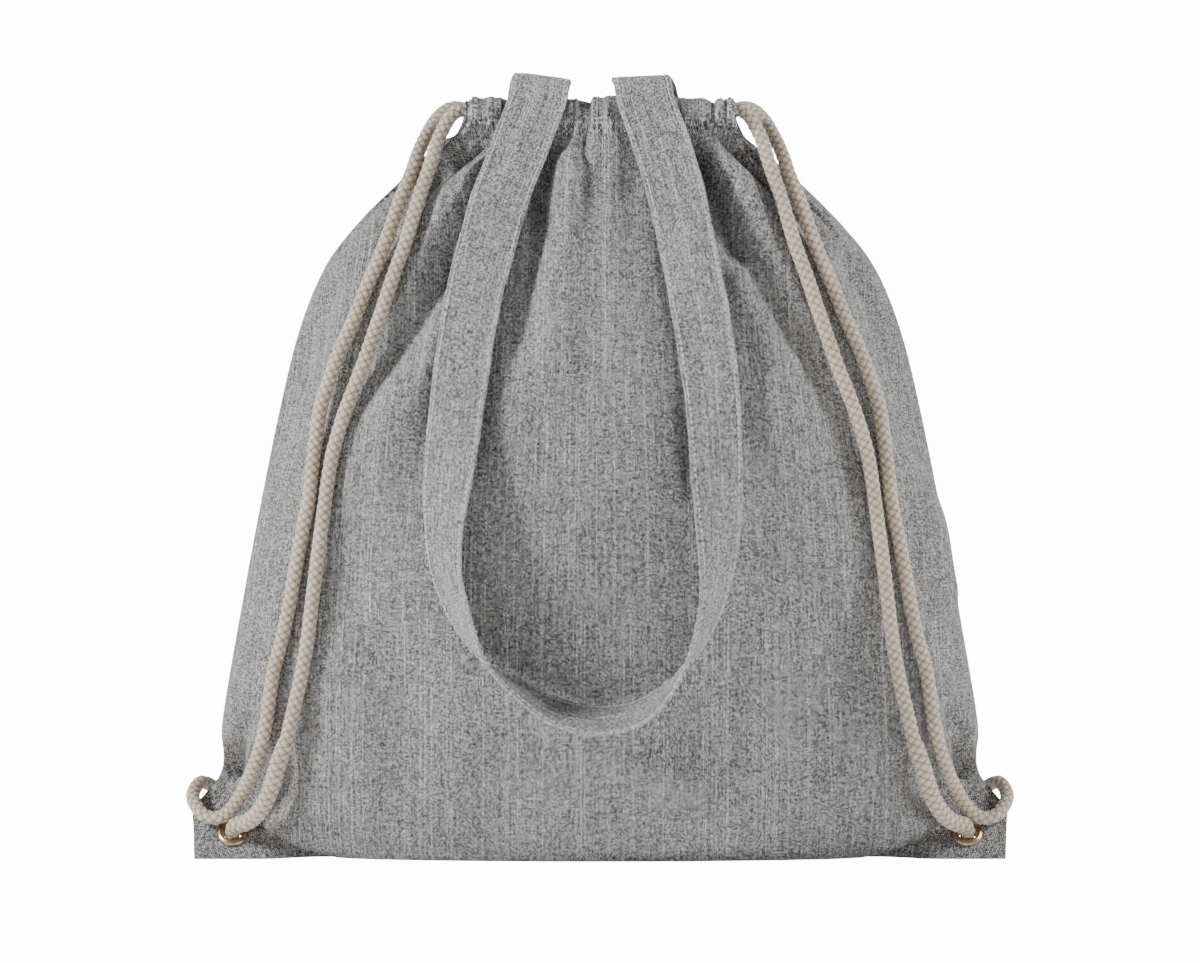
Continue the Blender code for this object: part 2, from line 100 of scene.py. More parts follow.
INNER_STRAND = [
    (-0.0580, -0.0145, 0.3290), (-0.0618, -0.0150, 0.3290), (-0.0655, -0.0158, 0.3262),
    (-0.0688, -0.0170, 0.3205), (-0.0714, -0.0188, 0.3145), (-0.0742, -0.0222, 0.3050),
    (-0.0777, -0.0266, 0.2945), (-0.0812, -0.0312, 0.2830), (-0.0852, -0.0355, 0.2695),
    (-0.0900, -0.0390, 0.2560), (-0.0942, -0.0414, 0.2430), (-0.0982, -0.0427, 0.2315),
    (-0.1025, -0.0434, 0.2190), (-0.1068, -0.0436, 0.2080), (-0.1108, -0.0434, 0.1975),
    (-0.1145, -0.0432, 0.1855), (-0.1172, -0.0432, 0.1740), (-0.1210, -0.0436, 0.1470),
    (-0.1230, -0.0436, 0.1320), (-0.1250, -0.0433, 0.1160), (-0.1272, -0.0425, 0.0980),
    (-0.1302, -0.0410, 0.0815), (-0.1335, -0.0389, 0.0675), (-0.1369, -0.0363, 0.0535),
    (-0.1403, -0.0338, 0.0440), (-0.1432, -0.0300, 0.0345), (-0.1463, -0.0255, 0.0268),
    (-0.1505, -0.0196, 0.0205), (-0.1555, -0.0140, 0.0165), (-0.1598, -0.0095, 0.0150),
    (-0.1617, -0.0060, 0.0128), (-0.1620, -0.0023, 0.0093)]
SPLICE_TOP = 0.0535               # the height below which the sewn ends thicken the inner strand


def smoothstep(low, high, value):
    share = np.clip((value - low) / (high - low), 0, 1)
    return share * share * (3 - 2 * share)


def smooth_route(points, step):
    """Points a step apart on a smooth curve through a route's own points, as rows of an array."""
    knots = np.array(points, float)
    knots = np.vstack([2 * knots[0] - knots[1], knots, 2 * knots[-1] - knots[-2]])
    share = np.linspace(0, 1, 17)[1:, None]
    fine = [knots[1][None]]
    for a, b, c, d in zip(knots, knots[1:], knots[2:], knots[3:]):
        fine.append(0.5 * (2 * b + (c - a) * share + (2 * a - 5 * b + 4 * c - d) * share**2
                           + (3 * b - a - 3 * c + d) * share**3))
    fine = np.vstack(fine)
    lengths = np.linalg.norm(np.diff(fine[:, :3], axis=0), axis=1)
    lengths = np.concatenate([[0], np.cumsum(lengths)])
    count = max(2, round(lengths[-1] / step))
    places = np.linspace(0, lengths[-1], count + 1)
    return np.stack([np.interp(places, lengths, column) for column in fine.T], axis=1)


def directions(points):
    ahead = np.gradient(points, axis=0)
    return ahead / np.linalg.norm(ahead, axis=1)[:, None]


def add_piece(name, mesh, material):
    piece = bpy.data.objects.new(name, mesh)
    mesh.materials.append(material)
    bpy.context.scene.collection.objects.link(piece)
    return piece


def set_uv(mesh, per_vertex):
    """A UV map that gives each corner the pair of values of its own vertex."""
    corners = np.zeros(len(mesh.loops), np.int32)
    mesh.loops.foreach_get("vertex_index", corners)
    layer = mesh.uv_layers.new(name="UVMap")
    layer.data.foreach_set("uv", per_vertex[corners].astype(np.float32).ravel())


def moved_grid(columns, rows):
    """A flat grid as a mesh, with the column and row of each of its vertices."""
    bm = bmesh.new()
    bmesh.ops.create_grid(bm, x_segments=columns, y_segments=rows, size=1)
    mesh = bpy.data.meshes.new("grid")
    bm.to_mesh(mesh)
    bm.free()
    flat = np.zeros(len(mesh.vertices) * 3, np.float32)
    mesh.vertices.foreach_get("co", flat)
    flat = flat.reshape(-1, 3)
    column = np.rint((flat[:, 0] + 1) / 2 * columns).astype(int)
    row = np.rint((1 - flat[:, 1]) / 2 * rows).astype(int)
    return mesh, column, row


def place_vertices(mesh, places):
    mesh.vertices.foreach_set("co", places.astype(np.float32).ravel())
    mesh.update()


def close_tube(mesh):
    """Sews the long edges of a rolled-up grid together and closes its two ends."""
    bm = bmesh.new()
    bm.from_mesh(mesh)
    bmesh.ops.remove_doubles(bm, verts=bm.verts, dist=0.000002)
    open_edges = [edge for edge in bm.edges if edge.is_boundary]
    bmesh.ops.holes_fill(bm, edges=open_edges)
    bmesh.ops.recalc_face_normals(bm, faces=bm.faces)
    bm.to_mesh(mesh)
    bm.free()
    mesh.shade_smooth()


def braid_height(along, turn):
    """How far each strand of the braid stands out: 0 in the gaps and 1 on the strands' backs.

    Where a strand lies on top it is rounded across its width and dips only at its ends."""
    rising = np.sin(math.pi * (BRAID_STRANDS * turn + along / BRAID_PITCH))
    falling = np.sin(math.pi * (BRAID_STRANDS * turn - along / BRAID_PITCH))
    over = smoothstep(-0.12, 0.12, rising * falling)
    one = np.abs(rising) ** 0.60 * np.abs(falling) ** 0.22
    other = np.abs(falling) ** 0.60 * np.abs(rising) ** 0.22
    return one * over + other * (1 - over)


def braided_tube(name, route, radii, material):
    ahead = directions(route)
    side = np.cross(ahead[0], (0, 1, 0.3))
    sides = []
    for direction in ahead:
        side = side - direction * np.dot(side, direction)
        side = side / np.linalg.norm(side)
        sides.append(side)
    sides = np.array(sides)
    ups = np.cross(ahead, sides)
    rings = len(route) - 1
    mesh, column, row = moved_grid(rings, CORD_FACETS)
    turn = row / CORD_FACETS
    along = column * CORD_RING_STEP
    twist = BRAID_DRIFT * np.sin(along * 31) / BRAID_STRANDS
    relief = BRAID_RELIEF * (braid_height(along, turn + twist) - 0.62)
    reach = radii[column] + relief
    angle = 2 * math.pi * (turn % 1)
    places = (route[column] + sides[column] * (np.cos(angle) * reach)[:, None]
              + ups[column] * (np.sin(angle) * reach)[:, None])
    place_vertices(mesh, places)
    set_uv(mesh, np.stack([along, turn + twist], axis=1))
    close_tube(mesh)
    return add_piece(name, mesh, material)


def math_node(tree, operation, *values, clamp=False):
    node = tree.nodes.new("ShaderNodeMath")
    node.operation = operation
    node.use_clamp = clamp
    for socket, value in zip(node.inputs, values):
        feed(tree, socket, value)
    return node.outputs[0]


def feed(tree, socket, value):
    if isinstance(value, bpy.types.NodeSocket):
        tree.links.new(value, socket)
    else:
        socket.default_value = value


def noise_node(tree, place, scale, detail=2.0, roughness=0.5):
    node = tree.nodes.new("ShaderNodeTexNoise")
    feed(tree, node.inputs["Vector"], place)
    node.inputs["Scale"].default_value = scale
    node.inputs["Detail"].default_value = detail
    node.inputs["Roughness"].default_value = roughness
    return node.outputs["Fac"]


def ramp_node(tree, value, *stops):
    """A colour ramp; each stop is a position and a linear colour."""
    node = tree.nodes.new("ShaderNodeValToRGB")
    while len(node.color_ramp.elements) < len(stops):
        node.color_ramp.elements.new(0.5)
    for element, (position, colour) in zip(node.color_ramp.elements, stops):
        element.position = position
        element.color = (*colour, 1)
    feed(tree, node.inputs[0], value)
    return node.outputs[0]


def range_node(tree, value, low, high, new_low, new_high):
    node = tree.nodes.new("ShaderNodeMapRange")
    for socket, number in zip(node.inputs, (value, low, high, new_low, new_high)):
        feed(tree, socket, number)
    return node.outputs[0]


def mix_node(tree, share, first, second):
    node = tree.nodes.new("ShaderNodeMix")
    for socket, value in zip((node.inputs[0], node.inputs[2], node.inputs[3]),
                             (share, first, second)):
        feed(tree, socket, value)
    return node.outputs[0]


def combine_node(tree, x, y, z):
    node = tree.nodes.new("ShaderNodeCombineXYZ")
    for socket, value in zip(node.inputs, (x, y, z)):
        feed(tree, socket, value)
    return node.outputs[0]


def new_material(name, roughness, metallic=0.0):
    material = bpy.data.materials.new(name)
    material.use_nodes = True
    shader = material.node_tree.nodes["Principled BSDF"]
    shader.inputs["Roughness"].default_value = roughness
    shader.inputs["Metallic"].default_value = metallic
    return material, material.node_tree, shader


def bump(tree, shader, height, distance, strength=1.0):
    node = tree.nodes.new("ShaderNodeBump")
    node.inputs["Distance"].default_value = distance
    node.inputs["Strength"].default_value = strength
    tree.links.new(height, node.inputs["Height"])
    tree.links.new(node.outputs[0], shader.inputs["Normal"])


def uv_parts(tree):
    place = tree.nodes.new("ShaderNodeUVMap")
    place.uv_map = "UVMap"
    parts = tree.nodes.new("ShaderNodeSeparateXYZ")
    tree.links.new(place.outputs[0], parts.inputs[0])
    return place.outputs[0], parts.outputs[0], parts.outputs[1]


def braided_cotton():
    """Unbleached cotton: cream strands with painted shade in the gaps between them, and fine yarns along
    each strand.
    """
    material, tree, shader = new_material("braided_cotton", 0.92)
    _, along, turn = uv_parts(tree)
    steps = math_node(tree, "MULTIPLY", along, 1 / BRAID_PITCH)
    strands = math_node(tree, "MULTIPLY", turn, BRAID_STRANDS)
    rising = math_node(tree, "ADD", strands, steps)
    falling = math_node(tree, "SUBTRACT", strands, steps)
    wave_a = math_node(tree, "SINE", math_node(tree, "MULTIPLY", rising, math.pi))
    wave_b = math_node(tree, "SINE", math_node(tree, "MULTIPLY", falling, math.pi))
    cell = math_node(tree, "MULTIPLY", wave_a, wave_b)
    over = math_node(tree, "MULTIPLY_ADD", cell, 5.0, 0.5, clamp=True)
    size_a = math_node(tree, "ABSOLUTE", wave_a)
    size_b = math_node(tree, "ABSOLUTE", wave_b)
    one = math_node(tree, "MULTIPLY", math_node(tree, "POWER", size_a, 0.40),
                    math_node(tree, "POWER", size_b, 0.14))
    other = math_node(tree, "MULTIPLY", math_node(tree, "POWER", size_b, 0.40),
                      math_node(tree, "POWER", size_a, 0.14))
    crown = mix_node(tree, over, other, one)
    yarns_a = math_node(tree, "SINE", math_node(tree, "MULTIPLY", rising, math.tau * 3.5))
    yarns_b = math_node(tree, "SINE", math_node(tree, "MULTIPLY", falling, math.tau * 3.5))
    yarns = mix_node(tree, over, yarns_b, yarns_a)
    fibres = noise_node(tree, combine_node(tree, steps, strands, 0.0), 9.0, 4.0, 0.65)
    blotch = noise_node(tree, combine_node(tree, along, 0.0, 0.0), 55.0, 1.0)
    tone = math_node(tree, "MULTIPLY_ADD", yarns, 0.05, crown)
    tone = math_node(tree, "ADD", tone, range_node(tree, fibres, 0.3, 0.7, -0.15, 0.15))
    tone = math_node(tree, "ADD", tone, range_node(tree, blotch, 0.35, 0.65, -0.06, 0.06))
    # painted shade: the ramp darkens the cord where the braid lies low, in the gaps between its strands
    colour = ramp_node(tree, tone, (0.15, (0.15, 0.11, 0.075)), (0.45, (0.41, 0.33, 0.245)),
                       (0.80, (0.58, 0.49, 0.385)), (1.0, (0.72, 0.63, 0.52)))
    tree.links.new(colour, shader.inputs["Base Color"])
    height = math_node(tree, "MULTIPLY_ADD", yarns, 0.18, crown)
    height = math_node(tree, "MULTIPLY_ADD", fibres, 0.35, height)
    bump(tree, shader, height, 0.00035, 0.8)
    return material


def plain_cotton():
    """The same cotton for the run inside the hems, with its strands as bands across the cord and painted
    shade between the bands.
    """
    material, tree, shader = new_material("hem_run_cotton", 0.92)
    place = tree.nodes.new("ShaderNodeTexCoord").outputs["Object"]
    parts = tree.nodes.new("ShaderNodeSeparateXYZ")
    tree.links.new(place, parts.inputs[0])
    lean = math_node(tree, "MULTIPLY_ADD", parts.outputs[2], 0.8, parts.outputs[0])
    bands = math_node(tree, "SINE", math_node(tree, "MULTIPLY", lean, math.tau / BRAID_PITCH * 2))
    fibres = noise_node(tree, place, 900.0, 3.0, 0.6)
    tone = math_node(tree, "MULTIPLY_ADD", bands, 0.18, fibres)
    # painted shade: the ramp darkens the troughs between the strand bands
    colour = ramp_node(tree, tone, (0.25, (0.22, 0.17, 0.12)), (0.5, (0.45, 0.37, 0.28)),
                       (0.8, (0.66, 0.58, 0.47)))
    tree.links.new(colour, shader.inputs["Base Color"])
    bump(tree, shader, tone, 0.0004, 0.7)
    return material


cord_finish = braided_cotton()
hidden_cotton = plain_cotton()
strand_routes = {}
for word, side in (("left", 1), ("right", -1)):
    mirror = np.array([side, 1, 1])
    for part, points in (("outer", OUTER_STRAND), ("inner", INNER_STRAND)):
        route = smooth_route(np.array(points) * mirror, CORD_RING_STEP)
        radii = np.full(len(route), CORD_RADIUS)
        nodes = [f"{word}_cord_{part}_strand"]
        if part == "inner":
            thicker = 1 - smoothstep(SPLICE_TOP - 0.0015, SPLICE_TOP + 0.001, route[:, 2])
            thicker = thicker * (1 - smoothstep(-0.010, -0.003, route[:, 1]))
            radii = radii + (SPLICE_RADIUS - CORD_RADIUS) * thicker
            nodes.append(f"{word}_cord_splice")
        strand = braided_tube(f"{word}_drawcord_{part}_strand", route, radii, cord_finish)
        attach(strand, "bag")
        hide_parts(*nodes)
        strand_routes[word, part] = route
    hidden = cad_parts[f"{word}_cord_in_channel"]
    hidden.data.materials.clear()
    hidden.data.materials.append(hidden_cotton)


# ---------------------------------------------------------------- the straps' paths
# Both handles are one strap each: a strip of the bag's cloth, folded and stitched along its two
# edges to 25 mm. It is sewn inside the mouth, folds over the drawcord hem and hangs in front.

STRAP_WIDTH = 0.025
STRAP_STEP = 0.0022
HINGE = Vector((0, 0.0145, 0.335))
CREST_RADIUS = 0.0087
SEWN_Z = 0.300
# Where it hangs: x, distance in front of the seam, z, and how far the strap has turned from lying
# flat against the belly towards standing on its outer edge, in degrees
HANDLE_LOOP = [
    (-0.0300, 0.0258, 0.3260, 0), (-0.0360, 0.0306, 0.3100, 0), (-0.0435, 0.0364, 0.2900, 0),
    (-0.0490, 0.0452, 0.2700, 0), (-0.0535, 0.0508, 0.2530, 4), (-0.0570, 0.0552, 0.2350, 10),
    (-0.0608, 0.0600, 0.2080, 17), (-0.0635, 0.0640, 0.1860, 24), (-0.0657, 0.0682, 0.1670, 33),
    (-0.0670, 0.0720, 0.1490, 46), (-0.0668, 0.0735, 0.1350, 54), (-0.0650, 0.0745, 0.1240, 60),
    (-0.0610, 0.0755, 0.1120, 67), (-0.0560, 0.0763, 0.1010, 76), (-0.0500, 0.0768, 0.0910, 87),
    (-0.0410, 0.0770, 0.0825, 98), (-0.0320, 0.0768, 0.0765, 106), (-0.0220, 0.0764, 0.0700, 112),
    (-0.0120, 0.0760, 0.0665, 116), (-0.0030, 0.0758, 0.0650, 117), (0.0070, 0.0759, 0.0655, 116),
    (0.0160, 0.0762, 0.0680, 112), (0.0230, 0.0766, 0.0725, 106), (0.0300, 0.0770, 0.0790, 98),
    (0.0365, 0.0772, 0.0880, 88), (0.0420, 0.0770, 0.0980, 76), (0.0465, 0.0764, 0.1100, 67),
    (0.0493, 0.0756, 0.1220, 59), (0.0505, 0.0745, 0.1350, 50), (0.0508, 0.0725, 0.1510, 38),
    (0.0503, 0.0695, 0.1670, 29), (0.0495, 0.0660, 0.1900, 20), (0.0475, 0.0628, 0.2130, 10),
    (0.0430, 0.0565, 0.2430, 3), (0.0380, 0.0468, 0.2690, 0), (0.0325, 0.0360, 0.2950, 0),
    (0.0265, 0.0290, 0.3150, 0), (0.0225, 0.0260, 0.3260, 0)]
# Each end inside the mouth: x at the sewn end, at the hem, at the crest and in front
LEFT_END_X = (-0.0315, -0.0285, -0.0250, -0.0272)
RIGHT_END_X = (0.0260, 0.0225, 0.0175, 0.0198)


def strap_end(xs):
    """Points from a sewn end up over the crest, in the row of the loop's own points."""
    sewn_x, hem_x, crest_x, front_x = xs
    y, z = HINGE.y, HINGE.z
    inside = y - CREST_RADIUS
    points = [(sewn_x, inside, SEWN_Z, 0), ((sewn_x + hem_x) / 2, inside, (SEWN_Z + z) / 2, 0),
              (hem_x, inside, z - 0.004, 0)]
    for degrees in (30, 60, 90, 120, 150):
        turn = math.radians(degrees)
        before, after = (hem_x, crest_x) if degrees <= 90 else (crest_x, front_x)
        share = degrees / 90 if degrees <= 90 else degrees / 90 - 1
        points.append((before + (after - before) * share, y - CREST_RADIUS * math.cos(turn),
                       z + CREST_RADIUS * math.sin(turn), 0))
    points.append((front_x, y + CREST_RADIUS + 0.0012, z - 0.001, 0))
    return points


def strap_stations():
    """The front strap's centre line, and the unit vector across it at each station."""
    ends = strap_end(LEFT_END_X), strap_end(RIGHT_END_X)[::-1]
    stations = smooth_route([(x, -y, z, math.radians(turn))
                             for x, y, z, turn in ends[0] + HANDLE_LOOP + ends[1]], STRAP_STEP)
    centres = stations[:, :3]
    ahead = directions(centres)
    across = []
    last = np.array([1.0, 0, 0])
    for centre, direction, turn in zip(centres, ahead, stations[:, 3]):
        if centre[1] > -0.0245:
            flat = np.array([math.copysign(1, last[0]), 0, 0])
            roll = -0.11 if centre[0] < 0 else 0.07
            width = flat + np.array([0, 0, roll * flat[0]]) * (centre[2] - 0.318) / 0.026
        else:
            outward = np.array([0, -1, 0]) + direction * direction[1]
            outward = outward / np.linalg.norm(outward)
            level = np.cross(outward, direction)
            width = level * math.cos(turn) + outward * math.sin(turn)
        last = width / np.linalg.norm(width)
        across.append(last)
    across = np.array(across)
    for _ in range(4):
        across[1:-1] = (across[:-2] + 2 * across[1:-1] + across[2:]) / 4
    return centres, across / np.linalg.norm(across, axis=1)[:, None]


strap_centres, strap_across = strap_stations()


# ---------------------------------------------------------------- the bag's cloth
# Two panels of grey chambray-like recycled cotton, sewn together round the sides and the bottom.
# The top of each is turned over into a hem for the drawcords, and gathers into deep folds there.

SEAM_EDGE = [(0, 0.1785), (0.012, 0.1795), (0.021, 0.1800), (0.028, 0.1745), (0.036, 0.1685),
             (0.046, 0.1668), (0.060, 0.1668), (0.092, 0.1616), (0.145, 0.1519), (0.198, 0.1413),
             (0.233, 0.1325), (0.259, 0.1219), (0.277, 0.1087), (0.298, 0.0880), (0.317, 0.0650)]
BELLY_EDGE = [(0, 0.117), (0.004, 0.131), (0.011, 0.145), (0.018, 0.154), (0.026, 0.1625),
              (0.034, 0.1665), (0.046, 0.1668)]
BELLY_DEPTH = [(0, 0.026), (0.015, 0.040), (0.040, 0.052), (0.080, 0.062), (0.120, 0.067),
               (0.160, 0.068), (0.200, 0.064), (0.240, 0.054), (0.270, 0.0425), (0.295, 0.0315),
               (0.317, 0.0228)]
BELLY_SHAPE = [(0, 0.50), (0.030, 0.54), (0.080, 0.58), (0.200, 0.58), (0.260, 0.50), (0.317, 0.30)]
CORNER_PIVOT = 0.013
EYELET = Vector((0.162, -0.003, 0.010))
EYELET_CUT = 0.0054
CORNER_TILT = math.radians(45)
HEM_CENTRE = (0.0145, 0.3258)     # distance in front of the seam, and height
HEM_RADIUS = 0.0077
HEM_HALF = 0.0590
HEM_START = math.radians(-38)     # where the hem leaves the panel, round its axis from the front
HEM_TURN = math.radians(290)
PANEL_TOP = 0.317
BELLY_COLUMNS = 250
CORNER_COLUMNS = 22
BELLY_ROWS = 236
HEM_ROWS = 46
FLOOR_ROWS = 8
FLOOR_GAP = 0.0002                # between the cloth and whatever the bag stands on


def outline(points, heights):
    """A given outline's values at these heights, on a smooth curve through its points."""
    zs, values = np.array(points, float).T
    fine = smooth_route(points, 0.0006)
    order = np.maximum.accumulate(fine[:, 0])
    return np.interp(np.clip(heights, zs[0], zs[-1]), order, fine[:, 1])


def corner_lean(x, z):
    share = smoothstep(0.122, 0.150, np.abs(x)) * (1 - smoothstep(0.026, 0.055, z))
    return (z - CORNER_PIVOT) * math.tan(CORNER_TILT) * share


def panel_rest(column, row):
    """The front panel before its folds: places, and each point's share across, from -1 to 1."""
    down = np.maximum(row - HEM_ROWS, 0)
    share_down = np.minimum(down / BELLY_ROWS, 1)
    z = PANEL_TOP * (1 - share_down)
    floor = np.maximum(down - BELLY_ROWS, 0) / FLOOR_ROWS
    belly = np.where(z < BELLY_EDGE[-1][0], outline(BELLY_EDGE, z), outline(SEAM_EDGE, z))
    seam = outline(SEAM_EDGE, z)
    inner = column - CORNER_COLUMNS
    beyond = np.maximum(np.maximum(-inner, inner - BELLY_COLUMNS), 0) / CORNER_COLUMNS
    across = np.clip(2 * inner / BELLY_COLUMNS - 1, -1, 1)
    turn = across * math.pi / 2
    cosine = np.maximum(np.cos(turn), 0)
    depth = outline(BELLY_DEPTH, z) * cosine ** (2 * outline(BELLY_SHAPE, z))
    x = belly * np.sin(turn) + np.sign(across) * (seam - belly) * beyond
    y = -(depth * (1 - floor)) - 0.0009 * (1 - beyond)
    z = np.where(floor > 0, FLOOR_GAP, np.maximum(z, FLOOR_GAP + 0.0004 * beyond))
    y = y + corner_lean(x, z)
    # the hem: up the front of a tunnel, over it and down behind
    climb = np.maximum(HEM_ROWS - row, 0) / HEM_ROWS
    around = HEM_START + climb * HEM_TURN
    hem_x = HEM_HALF * np.sin(turn)
    hem_y = -HEM_CENTRE[0] - HEM_RADIUS * np.cos(around)
    hem_z = HEM_CENTRE[1] + HEM_RADIUS * np.sin(around)
    in_hem = smoothstep(0.0, 0.13, climb)
    x = x * (1 - in_hem) + hem_x * in_hem
    y = y * (1 - in_hem) + hem_y * in_hem
    z = z * (1 - in_hem) + hem_z * in_hem
    return np.stack([x, y, z], axis=1), across, beyond, climb


def fold(places, path, widths, depths, sharp):
    """The push of one fold: its path as x and z, and its width and depth at both of its ends.

    A sharp fold is a crease with soft flanks; a soft one is a rounded ridge or valley."""
    route = smooth_route([(x, z, 0) for x, z in path], 0.004)[:, :2]
    best = np.full(len(places), 1e9)
    where = np.zeros(len(places))
    px, pz = places[:, 0], places[:, 2]
    for i, ((ax, az), (bx, bz)) in enumerate(zip(route, route[1:])):
        dx, dz = bx - ax, bz - az
        share = np.clip(((px - ax) * dx + (pz - az) * dz) / (dx * dx + dz * dz), 0, 1)
        off = np.hypot(px - ax - share * dx, pz - az - share * dz)
        nearer = off < best
        best = np.where(nearer, off, best)
        where = np.where(nearer, (i + share) / (len(route) - 1), where)
    width = widths[0] + (widths[1] - widths[0]) * where
    depth = depths[0] + (depths[1] - depths[0]) * where
    return depth * np.exp(-(best / width) ** (1.3 if sharp else 2))


def pressed(places, path, reach, gap, slope=0.9):
    """Keeps the cloth behind whatever lies on it along this path, by at least the gap."""
    for x, y, z in path:
        off = np.hypot(places[:, 0] - x, places[:, 2] - z)
        limit = y + gap - np.maximum(off - reach, 0) * slope
        near = off < reach * 3
        places[near, 1] = np.maximum(places[near, 1], limit[near])
    return places


# Front folds: path, widths and depths (positive stands out), and whether it is a sharp crease
FRONT_FOLDS = [
    # between the straps
    ([(-0.0095, 0.331), (-0.0174, 0.317), (-0.0227, 0.308), (-0.0249, 0.297), (-0.0284, 0.264),
      (-0.035, 0.233)], (0.0035, 0.010), (-0.0062, -0.002), True),
    ([(-0.0015, 0.3300), (0.0000, 0.3225), (0.0050, 0.3165), (0.0110, 0.3140)],
     (0.0020, 0.0022), (-0.0042, -0.001), True),
    ([(-0.0060, 0.3310), (-0.0075, 0.318), (-0.0110, 0.305)], (0.0040, 0.009), (0.0022, 0.001), False),
    ([(0.0050, 0.3290), (0.0075, 0.3205), (0.0130, 0.3140)], (0.0050, 0.006), (0.0030, 0.001), False),
    ([(-0.0140, 0.306), (-0.0160, 0.281), (-0.0174, 0.246), (-0.0196, 0.205), (-0.022, 0.170)],
     (0.0050, 0.014), (0.0038, 0.0008), False),
    ([(-0.0310, 0.294), (-0.0260, 0.285), (-0.0205, 0.272), (-0.0180, 0.262)],
     (0.0030, 0.005), (-0.0022, -0.0006), True),
    ([(0.0180, 0.312), (0.0120, 0.285), (0.0100, 0.250)], (0.005, 0.014), (-0.0016, -0.0006), False),
    # left shoulder
    ([(-0.0500, 0.3070), (-0.0620, 0.2960), (-0.0735, 0.2830), (-0.0814, 0.2680),
      (-0.0880, 0.246)], (0.0042, 0.010), (0.0046, 0.0012), False),
    ([(-0.0500, 0.3140), (-0.0615, 0.3060), (-0.0725, 0.2970), (-0.0830, 0.2840),
      (-0.0930, 0.268)], (0.0040, 0.009), (-0.0056, -0.0015), True),
    ([(-0.0500, 0.2830), (-0.0580, 0.2690), (-0.0680, 0.2540), (-0.0790, 0.2350),
      (-0.0946, 0.211), (-0.110, 0.191)], (0.0045, 0.015), (-0.0060, -0.0012), True),
    ([(-0.0640, 0.2390), (-0.0740, 0.2230), (-0.0836, 0.2086), (-0.0990, 0.1887),
      (-0.112, 0.167)], (0.0080, 0.017), (0.0036, 0.0008), False),
    ([(-0.0640, 0.2100), (-0.0720, 0.1850), (-0.0800, 0.1550), (-0.0900, 0.1250)],
     (0.0080, 0.020), (-0.0030, -0.0004), False),
    ([(-0.0610, 0.3190), (-0.0720, 0.3110), (-0.0830, 0.3000)], (0.0030, 0.004),
     (0.0022, 0.001), False),
    # right shoulder
    ([(0.0410, 0.3140), (0.0470, 0.3020), (0.0520, 0.2880), (0.0590, 0.2700), (0.0730, 0.2450),
      (0.0884, 0.2196), (0.106, 0.1887)], (0.0050, 0.011), (-0.0078, -0.0006), True),
    ([(0.0440, 0.3170), (0.0540, 0.3060), (0.0650, 0.2940), (0.0770, 0.2800), (0.0870, 0.2640),
      (0.096, 0.244)], (0.0038, 0.011), (0.0050, 0.0012), False),
    ([(0.0560, 0.3170), (0.0680, 0.3060), (0.0790, 0.2930), (0.0890, 0.2780), (0.100, 0.260)],
     (0.0042, 0.010), (-0.0052, -0.0012), True),
    ([(0.0620, 0.2560), (0.0720, 0.2360), (0.0800, 0.2130), (0.0850, 0.1850), (0.0860, 0.150)],
     (0.0070, 0.018), (0.0036, 0.0006), False),
    ([(0.0640, 0.1900), (0.0690, 0.1650), (0.0700, 0.1450), (0.0680, 0.1250)],
     (0.0090, 0.016), (-0.0012, -0.0005), False),
    # sides, above the corners, and the belly's lower half
    ([(-0.1560, 0.0620), (-0.1620, 0.0480), (-0.1650, 0.036)], (0.0040, 0.004), (-0.0016, -0.0026), False),
    ([(0.1540, 0.0650), (0.1600, 0.0500), (0.1640, 0.036)], (0.0040, 0.004), (-0.0016, -0.0026), False),
    ([(-0.1180, 0.2520), (-0.1290, 0.2200), (-0.1380, 0.1850)], (0.0050, 0.009), (-0.0018, -0.001), False),
    ([(0.1100, 0.2620), (0.1230, 0.2360), (0.1330, 0.2000), (0.1400, 0.165)],
     (0.0050, 0.009), (-0.0022, -0.001), False),
    ([(0.1330, 0.1750), (0.1450, 0.1500), (0.1540, 0.1200)], (0.0060, 0.008), (0.0016, 0.001), False),
    ([(-0.0400, 0.0560), (0.0000, 0.0480), (0.0450, 0.0540)], (0.0140, 0.014), (-0.0016, -0.0016), False),
    ([(-0.1000, 0.1050), (-0.0850, 0.0650), (-0.0800, 0.0250)], (0.0150, 0.014), (-0.0014, -0.001), False),
    ([(0.0950, 0.1100), (0.0980, 0.0700), (0.0900, 0.0250)], (0.0160, 0.014), (-0.0016, -0.001), False),
]
